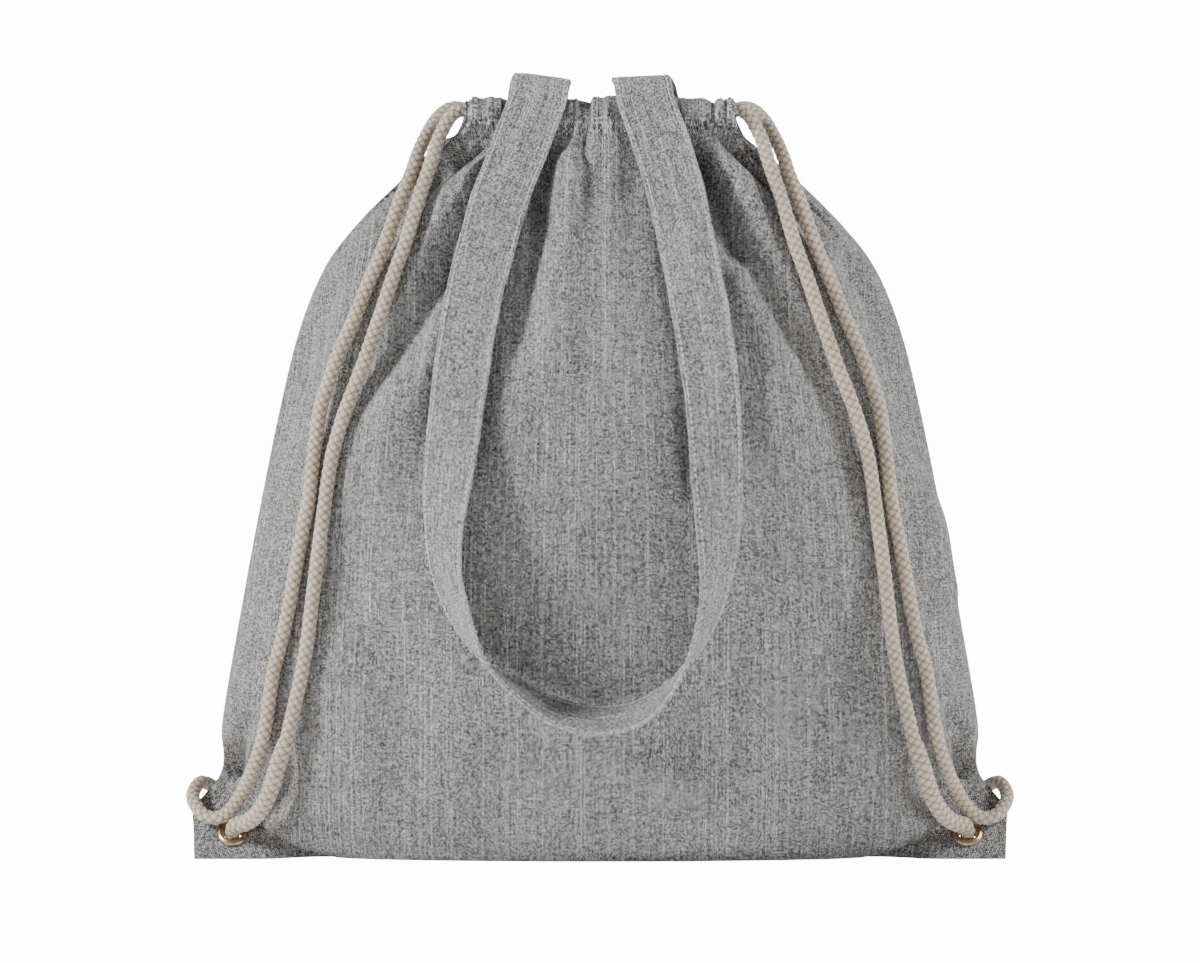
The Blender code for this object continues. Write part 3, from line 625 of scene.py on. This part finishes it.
BACK_FOLDS = [
    ([(0.0040, 0.330), (0.0020, 0.316), (-0.0040, 0.290), (-0.0100, 0.250)],
     (0.0035, 0.012), (-0.0060, -0.0015), True),
    ([(-0.0080, 0.328), (-0.0140, 0.305), (-0.0220, 0.270), (-0.0260, 0.225)],
     (0.0040, 0.013), (0.0042, 0.0008), False),
    ([(0.0140, 0.328), (0.0200, 0.300), (0.0240, 0.262), (0.0250, 0.215)],
     (0.0040, 0.014), (0.0044, 0.0008), False),
    ([(-0.0420, 0.316), (-0.0530, 0.296), (-0.0660, 0.268), (-0.0840, 0.232), (-0.102, 0.195)],
     (0.0045, 0.016), (-0.0068, -0.0012), True),
    ([(-0.0460, 0.318), (-0.0620, 0.300), (-0.0780, 0.276), (-0.0900, 0.248)],
     (0.0040, 0.011), (0.0046, 0.0012), False),
    ([(0.0430, 0.316), (0.0560, 0.294), (0.0700, 0.264), (0.0900, 0.226), (0.110, 0.186)],
     (0.0045, 0.017), (-0.0064, -0.0012), True),
    ([(0.0480, 0.318), (0.0640, 0.300), (0.0800, 0.278), (0.0950, 0.246)],
     (0.0040, 0.012), (0.0048, 0.0012), False),
    ([(0.0100, 0.200), (0.0300, 0.140), (0.0200, 0.080)], (0.016, 0.016), (-0.0016, -0.001), False),
    ([(-0.1000, 0.160), (-0.0900, 0.100), (-0.0950, 0.050)], (0.016, 0.016), (-0.0018, -0.001), False),
    ([(0.1050, 0.150), (0.0950, 0.095), (0.1000, 0.045)], (0.014, 0.016), (-0.0014, -0.001), False),
]
FOLD_STRENGTH = 2.8
# Soft unevenness all over the filled cloth: waves per metre along x and z, a shift and a height
SWELLS = [(31, 17, 0.4, 0.00055), (-19, 38, 2.1, 0.00050), (52, -27, 4.0, 0.00030),
          (-61, -44, 1.2, 0.00024), (88, 23, 5.1, 0.00016), (-37, 96, 3.3, 0.00014)]


def gathers(across, shift):
    """Pleats that fan out from the drawn hem and fade a few centimetres below it."""
    phase = 25 * across + 2.2 * np.sin(6.3 * across + shift)
    phase = phase + 1.3 * np.sin(15.1 * across + 2 * shift)
    pleat = 2 * np.abs(np.sin(phase / 2)) ** 0.75 - 1.25
    fine = np.sin(2.7 * phase + 3 * shift)
    return pleat + 0.25 * fine


def girth_along_rows(places, column, row):
    """How far each point lies round the panel from the middle of its row."""
    grid = np.zeros((row.max() + 1, column.max() + 1, 3))
    grid[row, column] = places
    steps = np.linalg.norm(np.diff(grid, axis=1), axis=2)
    arc = np.concatenate([np.zeros((len(grid), 1)), np.cumsum(steps, axis=1)], axis=1)
    arc -= arc[:, [column.max() // 2]]
    return arc[row, column]


def panel_cloth(name, side, folds, lying, material):
    """One panel with its hem, as a single sheet. side is -1 for the front and 1 for the back."""
    mesh, column, row = moved_grid(BELLY_COLUMNS + 2 * CORNER_COLUMNS,
                                   HEM_ROWS + BELLY_ROWS + FLOOR_ROWS)
    places, across, beyond, climb = panel_rest(column, row)
    girth = girth_along_rows(places, column, row)
    lean = corner_lean(places[:, 0], places[:, 2])
    # which way each point faces: away from the bag's upright middle, and out from the hem's axis
    z = places[:, 2]
    edge = outline(SEAM_EDGE, z)
    out_x = np.sign(places[:, 0]) * (np.abs(places[:, 0]) / np.maximum(edge, 0.02)) ** 3
    facing = np.stack([out_x, -np.ones(len(z)), np.zeros(len(z))], axis=1)
    facing /= np.linalg.norm(facing, axis=1)[:, None]
    in_hem = smoothstep(0.0, 0.13, climb)
    hem_out = np.stack([np.zeros(len(z)), places[:, 1] + HEM_CENTRE[0],
                        places[:, 2] - HEM_CENTRE[1]], axis=1)
    hem_out /= np.maximum(np.linalg.norm(hem_out, axis=1), 1e-6)[:, None]
    facing = facing * (1 - in_hem)[:, None] + hem_out * in_hem[:, None]
    push = np.zeros(len(z))
    body = (1 - smoothstep(0.90, 0.985, np.abs(across))) * smoothstep(0.004, 0.02, z)
    body = body * (1 - 0.60 * smoothstep(0.302, 0.319, z)) * (1 - in_hem * 0.75)
    for path, widths, depths, sharp in folds:
        push += fold(places, path, widths, depths, sharp) * body * FOLD_STRENGTH
    for along_x, along_z, shift, height in SWELLS:
        push += height * np.sin(along_x * places[:, 0] * 2 + along_z * z * 2 + shift) * body * 1.2
    pleats = gathers(across, 0.8 if side < 0 else 2.9)
    fade = smoothstep(0.252, 0.314, z) * (1 - in_hem)
    off_middle = np.abs(across)
    push += pleats * 0.0027 * fade * (1 - smoothstep(0.93, 1.0, off_middle))
    in_hem_middle = in_hem * (1 - smoothstep(0.80, 0.96, off_middle))
    push += np.clip(pleats, -0.45, 0.75) * 0.0024 * in_hem_middle
    push -= 0.0010 * smoothstep(0.92, 1.0, off_middle) * in_hem
    # the side seam draws the cloth in
    at_seam = smoothstep(0.975, 1.0, off_middle) * smoothstep(0.035, 0.06, z)
    push -= 0.0011 * at_seam * (1 - in_hem)
    # the hem keeps clear of the cords that run inside it
    deepest = -0.0016 - 0.030 * (1 - smoothstep(0.298, 0.316, z))
    push = np.maximum(push, deepest)
    places = places + facing * push[:, None]
    # gathers crowd together sideways in the hem
    places[:, 0] += in_hem * 0.0006 * np.sin(92 * across + 1.0)
    ends = smoothstep(0.94, 1.0, off_middle) * in_hem
    places[:, 0] += np.sign(across) * ends * 0.0006 * np.sin(climb * 12 + side)
    for path, reach, gap in lying:
        places = pressed(places, path, reach, gap)
    places[:, 1] = np.where((climb == 0) & (beyond > 0), np.minimum(places[:, 1], lean),
                            places[:, 1])
    rows_z = PANEL_TOP * (1 - np.minimum(np.maximum(row - HEM_ROWS, 0) / BELLY_ROWS, 1))
    spread = 1 + 0.22 * smoothstep(0.12, 0.317, rows_z)
    down = (PANEL_TOP - rows_z) * 1.06
    down = np.where(climb > 0, -climb * HEM_RADIUS * HEM_TURN, down)
    down = down + np.maximum(row - HEM_ROWS - BELLY_ROWS, 0) / FLOOR_ROWS * 0.03
    cloth_uv = np.stack([girth * spread + 0.3 * side, -down], axis=1)
    if side > 0:
        # the back lies behind the middle plane, while its corners lean as the front's do
        places[:, 1] = lean + (lean - places[:, 1])
        places[:, 1] = np.where(beyond > 0, np.maximum(places[:, 1], lean), places[:, 1])
    place_vertices(mesh, places)
    set_uv(mesh, cloth_uv)
    bm = bmesh.new()
    bm.from_mesh(mesh)
    tilt = Matrix.Rotation(-CORNER_TILT, 3, "X")
    holes = []
    for face in bm.faces:
        middle = face.calc_center_median()
        for end in (-1, 1):
            off = tilt @ (middle - Vector((end * EYELET.x, EYELET.y, EYELET.z)))
            if off.xy.length < EYELET_CUT and abs(off.z) < 0.003:
                holes.append(face)
    bmesh.ops.delete(bm, geom=holes, context="FACES")
    bmesh.ops.recalc_face_normals(bm, faces=bm.faces)
    middle_face = min(bm.faces, key=lambda f: (f.calc_center_median()
                                               - Vector((0, side * 0.068, 0.16))).length)
    if middle_face.normal.y * side < 0:
        bmesh.ops.reverse_faces(bm, faces=bm.faces)
    bm.to_mesh(mesh)
    bm.free()
    mesh.shade_smooth()
    piece = add_piece(name, mesh, material)
    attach(piece, "bag")
    return piece


def random_node(tree, x, y):
    """A steady random value from 0 to 1 for each pair of whole numbers."""
    node = tree.nodes.new("ShaderNodeTexWhiteNoise")
    tree.links.new(combine_node(tree, x, y, 0.0), node.inputs["Vector"])
    return node.outputs["Value"]


YARN = 0.00047                    # from one yarn to the next


def woven_group():
    """Plain weave on a surface's own UV in metres: dark warp, pale weft, slubs and thin yarns."""
    group = bpy.data.node_groups.new("plain_weave", "ShaderNodeTree")
    group.interface.new_socket("Place", in_out="INPUT", socket_type="NodeSocketVector")
    group.interface.new_socket("Shade", in_out="OUTPUT", socket_type="NodeSocketFloat")
    group.interface.new_socket("Height", in_out="OUTPUT", socket_type="NodeSocketFloat")
    start = group.nodes.new("NodeGroupInput")
    end = group.nodes.new("NodeGroupOutput")
    place = start.outputs["Place"]
    parts = group.nodes.new("ShaderNodeSeparateXYZ")
    group.links.new(place, parts.inputs[0])
    u, v = parts.outputs[0], parts.outputs[1]
    wander = range_node(group, noise_node(group, place, 35.0, 1.0), 0.0, 1.0, -0.3, 0.3)
    warp = math_node(group, "ADD", math_node(group, "MULTIPLY", u, 1 / YARN), wander)
    weft = math_node(group, "SUBTRACT", math_node(group, "MULTIPLY", v, 1 / YARN), wander)
    wave_u = math_node(group, "SINE", math_node(group, "MULTIPLY", warp, math.pi))
    wave_v = math_node(group, "SINE", math_node(group, "MULTIPLY", weft, math.pi))
    cell = math_node(group, "MULTIPLY", wave_u, wave_v)
    crown = math_node(group, "POWER", math_node(group, "ABSOLUTE", cell), 0.5)
    over = math_node(group, "MULTIPLY_ADD", cell, 3.0, 0.5, clamp=True)
    warp_yarn = math_node(group, "FLOOR", warp)
    weft_yarn = math_node(group, "FLOOR", weft)

    def stretch(place, per_metre):
        return math_node(group, "FLOOR", math_node(group, "MULTIPLY", place, per_metre))

    warp_tone = random_node(group, warp_yarn, stretch(v, 210.0))
    weft_tone = random_node(group, stretch(u, 280.0), weft_yarn)
    grain = random_node(group, warp_yarn, weft_yarn)
    warp_tone = range_node(group, warp_tone, 0.0, 1.0, 0.00, 0.50)
    weft_tone = range_node(group, weft_tone, 0.0, 1.0, 0.42, 0.80)
    shade = mix_node(group, over, weft_tone, warp_tone)
    shade = math_node(group, "ADD", shade, range_node(group, grain, 0.0, 1.0, -0.44, 0.44))
    slub_place = combine_node(group, warp, math_node(group, "MULTIPLY", v, 55.0), 9.0)
    slub = range_node(group, noise_node(group, slub_place, 0.8, 1.0), 0.64, 0.80, 0.0, 0.30)
    streak_place = combine_node(group, math_node(group, "MULTIPLY", warp, 0.90),
                                math_node(group, "MULTIPLY", v, 24.0), 2.0)
    streak = range_node(group, noise_node(group, streak_place, 1.0, 2.0), 0.3, 0.7, -0.13, 0.13)
    shade = math_node(group, "ADD", math_node(group, "ADD", shade, slub), streak)
    line = random_node(group, warp_yarn, stretch(v, 9.0))
    shade = math_node(group, "ADD", shade, range_node(group, line, 0.86, 0.94, 0.0, 0.24))
    # painted shade: each yarn is darkened towards its edges, where it dips under the crossing yarns
    shade = math_node(group, "MULTIPLY", shade, range_node(group, crown, 0.0, 0.8, 0.55, 1.0))
    cloud = noise_node(group, place, 22.0, 2.0)
    shade = math_node(group, "ADD", shade, range_node(group, cloud, 0.3, 0.7, -0.015, 0.015))
    group.links.new(shade, end.inputs["Shade"])
    group.links.new(math_node(group, "MULTIPLY_ADD", slub, 0.5, crown), end.inputs["Height"])
    return group


weave = woven_group()


def grey_cotton(name, dark, middle, pale, relief, edge_highlight=0.0):
    material, tree, shader = new_material(name, 0.95)
    shader.inputs["Sheen Weight"].default_value = 0.12
    shader.inputs["Sheen Roughness"].default_value = 0.6
    place, _, _ = uv_parts(tree)
    cloth = tree.nodes.new("ShaderNodeGroup")
    cloth.node_tree = weave
    tree.links.new(place, cloth.inputs["Place"])
    shade = cloth.outputs["Shade"]
    # painted highlight: the cloth is made lighter in the band outside each stitch row
    if edge_highlight:
        band = tree.nodes.new("ShaderNodeAttribute")
        band.attribute_name = "stitched_edge"
        shade = math_node(tree, "MULTIPLY_ADD", band.outputs["Fac"], edge_highlight, shade)
    colour = ramp_node(tree, shade, (0.0, dark), (0.42, middle), (1.0, pale))
    tree.links.new(colour, shader.inputs["Base Color"])
    creases = noise_node(tree, place, 110.0, 3.0, 0.55)
    height = math_node(tree, "MULTIPLY_ADD", creases, 1.6, cloth.outputs["Height"])
    bump(tree, shader, height, relief, 0.9)
    return material


bag_cloth = grey_cotton("grey_cotton", (0.030, 0.030, 0.030), (0.245, 0.238, 0.235),
                        (0.86, 0.85, 0.84), 0.00022)
strap_lying = (strap_centres[strap_centres[:, 1] < -0.024][::2], 0.0145, 0.0030)
front_lying = [strap_lying]
for part in ("inner", "outer"):
    for word in ("left", "right"):
        path = strand_routes[word, part]
        lying = (path[:, 2] > 0.036) & (path[:, 2] < 0.314) & (path[:, 1] < -0.010)
        front_lying.append((path[lying][::6], 0.0030, 0.0034))
front_cloth = panel_cloth("front_cloth", -1, FRONT_FOLDS, front_lying, bag_cloth)
back_cloth = panel_cloth("back_cloth", 1, BACK_FOLDS, [strap_lying], bag_cloth)
for word, cloth_piece in (("front", front_cloth), ("back", back_cloth)):
    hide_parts(f"{word}_panel", f"{word}_drawcord_channel")


# ---------------------------------------------------------------- straps
# Each strap is the bag's own cloth folded into several layers, with a row of pale topstitching
# 2 mm inside each edge that pulls the cloth down between its stitches.

STRAP_THICK = 0.0017
PROFILE = 40                      # points round a strap's cross-section
STITCH_INSET = 0.0019
STITCH_STEP = 0.0030
STITCH_LENGTH = 0.0023
STITCH_RADIUS = 0.00040


def strap_profile(share):
    """Across from -1 to 1 and up from -1 to 1, round the strap's section, from a share of a turn."""
    turn = 2 * math.pi * share
    c, s = np.cos(turn), np.sin(turn)
    across = np.sign(c) * np.abs(c) ** 0.55
    up = np.sign(s) * np.abs(s) ** 0.30
    return across, up


def strap_cloth(name, side, material):
    flip = np.array([1, -side, 1])
    centres = strap_centres * flip
    width = strap_across * flip
    ahead = directions(centres)
    face = np.cross(width, ahead)
    face /= np.linalg.norm(face, axis=1)[:, None]
    mesh, column, row = moved_grid(len(centres) - 1, PROFILE)
    across, up = strap_profile((row % PROFILE) / PROFILE)
    along = column * STRAP_STEP
    reach = across * STRAP_WIDTH / 2
    inset = STRAP_WIDTH / 2 - STITCH_INSET
    groove = np.exp(-((np.abs(reach) - inset) / 0.0007) ** 2)
    pucker = 0.75 + 0.25 * np.cos(2 * math.pi * along / STITCH_STEP)
    thick = STRAP_THICK / 2 * (1 - 0.70 * groove * pucker)
    thick = thick * (1 + 0.10 * np.sin(along * 190 + across * 3) * (1 - np.abs(across)))
    sway = 0.0003 * np.sin(along * 71 + 1.3 * side) * across
    sway += 0.0005 * (1 - across**2) * np.sin(along * 47 + 0.9)
    edge_wave = 1 + 0.010 * np.sin(along * 240 + side) + 0.008 * np.sin(along * 97 + 2)
    places = (centres[column] + width[column] * (reach * edge_wave)[:, None]
              + face[column] * (up * thick + sway)[:, None])
    place_vertices(mesh, places)
    unrolled = np.where(up >= 0, across, 2.2 - across) * STRAP_WIDTH / 2
    set_uv(mesh, np.stack([unrolled + 0.05 * side, along], axis=1))
    band = mesh.attributes.new("stitched_edge", "FLOAT", "POINT")
    band.data.foreach_set("value", smoothstep(inset - 0.0002, inset + 0.0006,
                                              np.abs(reach)).astype(np.float32))
    close_tube(mesh)
    return add_piece(name, mesh, material), (centres, width, face, ahead)


def strap_stitches(name, lines, material):
    """Rows of short thread stitches on both faces, 2 mm inside each edge."""
    centres, width, face, ahead = lines
    one = bmesh.new()
    bmesh.ops.create_uvsphere(one, u_segments=5, v_segments=4, radius=1,
                              matrix=Matrix.Rotation(math.pi / 2, 4, "Y"))
    size = Matrix.Diagonal((STITCH_LENGTH / 2, STITCH_RADIUS, STITCH_RADIUS, 1))
    bmesh.ops.transform(one, matrix=size, verts=one.verts)
    stitch = bpy.data.meshes.new("stitch")
    one.to_mesh(stitch)
    one.free()
    every = STITCH_STEP / STRAP_STEP
    bm = bmesh.new()
    for k in range(int((len(centres) - 2) / every)):
        at = k * every + 0.5
        i = int(at)
        share = at - i
        centre = centres[i] * (1 - share) + centres[i + 1] * share
        for edge in (-1, 1):
            for up in (-1, 1):
                place = (centre + width[i] * edge * (STRAP_WIDTH / 2 - STITCH_INSET)
                         + face[i] * up * (STRAP_THICK / 2 * 0.80))
                axes = Matrix((ahead[i], width[i], face[i])).transposed().to_4x4()
                sewn = stitch.copy()
                sewn.transform(Matrix.Translation(place) @ axes)
                bm.from_mesh(sewn)
                bpy.data.meshes.remove(sewn)
    bmesh.ops.recalc_face_normals(bm, faces=bm.faces)
    mesh = bpy.data.meshes.new(name)
    bm.to_mesh(mesh)
    bm.free()
    mesh.shade_smooth()
    return add_piece(name, mesh, material)


def sewing_thread():
    material, tree, shader = new_material("sewing_thread", 0.75)
    place = tree.nodes.new("ShaderNodeTexCoord").outputs["Object"]
    ply = noise_node(tree, place, 2600.0, 2.0)
    colour = ramp_node(tree, ply, (0.3, (0.50, 0.495, 0.49)), (0.7, (0.82, 0.815, 0.81)))
    tree.links.new(colour, shader.inputs["Base Color"])
    bump(tree, shader, ply, 0.0001, 0.6)
    return material


# the straps' cloth, with a painted highlight on the bands outside its stitch rows
strap_finish = grey_cotton("strap_cotton", (0.045, 0.045, 0.045), (0.275, 0.268, 0.265),
                           (0.88, 0.87, 0.86), 0.00020, edge_highlight=0.13)
thread_finish = sewing_thread()
for word, side in (("front", -1), ("back", 1)):
    strap, lines = strap_cloth(f"{word}_strap", side, strap_finish)
    stitches = strap_stitches(f"{word}_strap_stitches", lines, thread_finish)
    for piece in (strap, stitches):
        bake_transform(piece)
    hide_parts(f"{word}_handle", f"{word}_handle_left_end", f"{word}_handle_right_end")


# ---------------------------------------------------------------- eyelets
# A brass eyelet is pressed through both layers of each bottom corner: a domed ring in front and
# a washer behind. Handling has rubbed the ring bright, and the metal is browner in its hollows.

def aged_brass():
    material, tree, shader = new_material("aged_brass", 0.36, 1.0)
    place = tree.nodes.new("ShaderNodeTexCoord").outputs["Object"]
    stain = noise_node(tree, place, 420.0, 3.0, 0.6)
    fine = noise_node(tree, place, 2400.0, 2.0)
    colour = ramp_node(tree, stain, (0.30, (0.26, 0.17, 0.085)), (0.55, (0.52, 0.38, 0.23)),
                       (0.75, (0.68, 0.55, 0.38)))
    tree.links.new(colour, shader.inputs["Base Color"])
    tree.links.new(range_node(tree, stain, 0.3, 0.7, 0.50, 0.28), shader.inputs["Roughness"])
    bump(tree, shader, fine, 0.00004, 0.5)
    return material


brass_finish = aged_brass()
for word in ("left", "right"):
    for part in ("front", "back"):
        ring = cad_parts[f"{word}_eyelet_{part}"]
        ring.data.materials.clear()
        ring.data.materials.append(brass_finish)


# ---------------------------------------------------------------- floor and light
# A wide pale studio floor under a pale surround, a soft key from the upper left, a weaker light
# on the right shoulder and a broad low fill in front. Floor and surround look evenly white.

FLOOR_HALF = 30.0
WHITE = 14.0                      # how bright the floor and the surround look to the camera
FLOOR_GLOW = 0.30
SURROUND_GLOW = 0.16

bm = bmesh.new()
bmesh.ops.create_grid(bm, x_segments=8, y_segments=8, size=FLOOR_HALF)
floor_mesh = bpy.data.meshes.new("studio_floor")
bm.to_mesh(floor_mesh)
bm.free()
floor_mesh.shade_smooth()
floor_paint, floor_tree, floor_shader = new_material("studio_paper", 0.9)
paper_grain = noise_node(floor_tree, floor_tree.nodes.new("ShaderNodeTexCoord").outputs["Object"],
                         300.0)
floor_tree.links.new(ramp_node(floor_tree, paper_grain, (0.3, (0.90, 0.90, 0.90)),
                               (0.7, (0.93, 0.93, 0.93))), floor_shader.inputs["Base Color"])
floor_shader.inputs["Emission Color"].default_value = (1, 1, 1, 1)
eye_ray = floor_tree.nodes.new("ShaderNodeLightPath").outputs["Is Camera Ray"]
floor_tree.links.new(math_node(floor_tree, "MULTIPLY_ADD", eye_ray, WHITE - FLOOR_GLOW, FLOOR_GLOW),
                     floor_shader.inputs["Emission Strength"])
studio_floor = add_piece("studio_floor", floor_mesh, floor_paint)


def soft_light(name, place, size, power, aim=(0, 0, 0.17)):
    lamp = bpy.data.lights.new(name, "AREA")
    lamp.shape = "RECTANGLE"
    lamp.size = size[0]
    lamp.size_y = size[1]
    lamp.energy = power
    holder = bpy.data.objects.new(name, lamp)
    holder.location = place
    holder.rotation_euler = (Vector(place) - Vector(aim)).to_track_quat("Z", "Y").to_euler()
    bpy.context.scene.collection.objects.link(holder)


soft_light("key_left", (-1.95, -0.80, 1.30), (0.4, 0.5), 72)
soft_light("shoulder_light_right", (1.85, -0.25, 1.35), (0.5, 0.6), 42)
soft_light("front_fill", (0.4, -2.4, 0.3), (1.2, 1.0), 2)
soft_light("back_light", (0.7, 2.2, 1.6), (1.0, 0.8), 22)
surround = bpy.data.worlds.new("surround")
surround.use_nodes = True
surround.node_tree.nodes["Background"].inputs[0].default_value = (1, 1, 1, 1)
seen = surround.node_tree.nodes.new("ShaderNodeLightPath").outputs["Is Camera Ray"]
surround.node_tree.links.new(math_node(surround.node_tree, "MULTIPLY_ADD", seen, WHITE, SURROUND_GLOW),
                             surround.node_tree.nodes["Background"].inputs[1])
bpy.context.scene.world = surround
